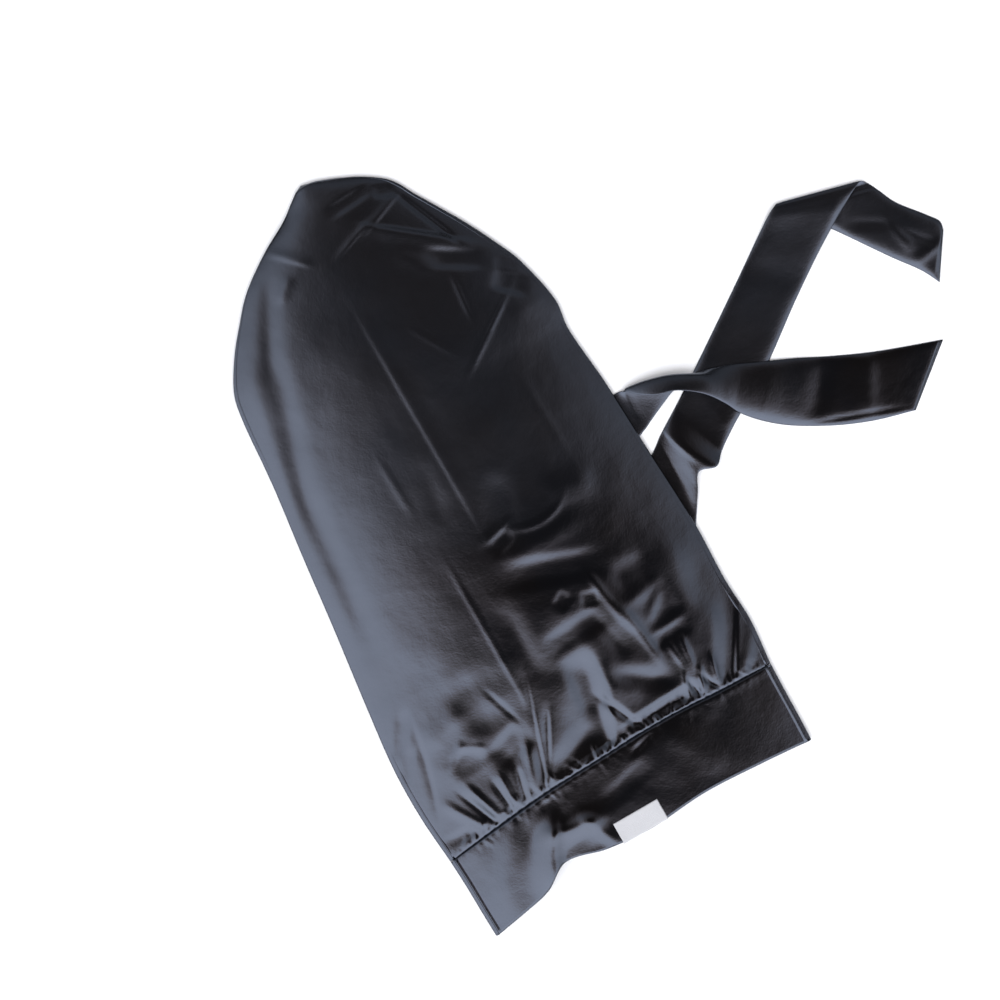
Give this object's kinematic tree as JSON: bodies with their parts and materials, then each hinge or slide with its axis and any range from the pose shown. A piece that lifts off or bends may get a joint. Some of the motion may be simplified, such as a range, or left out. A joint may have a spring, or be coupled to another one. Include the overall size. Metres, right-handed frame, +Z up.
{
  "type": "braid bonnet",
  "caption": "Long hollow satin bag for braids, gathered into a wide doubled head band, with long flat ties and a small bare label, lying flat.",
  "frame": {"origin": "on the floor under the middle of the whole bonnet, ties included", "axes": "+Z up, +Y along the bag from the head band to the closed tip, +X along the band towards the side where the ties come out"},
  "size_m": [0.5832, 0.582, 0.0238],
  "materials": {
    "bag_satin": "charcoal satin, soft sheen",
    "band_satin": "charcoal satin, doubled",
    "tie_satin": "charcoal satin, turned and pressed",
    "label_tape": "white woven tape, matt"
  },
  "bodies": {
    "root": {"bag": "bag_satin", "band": "band_satin", "tie_over": "tie_satin", "tie_under": "tie_satin", "label": "label_tape"}
  },
  "joints": []
}
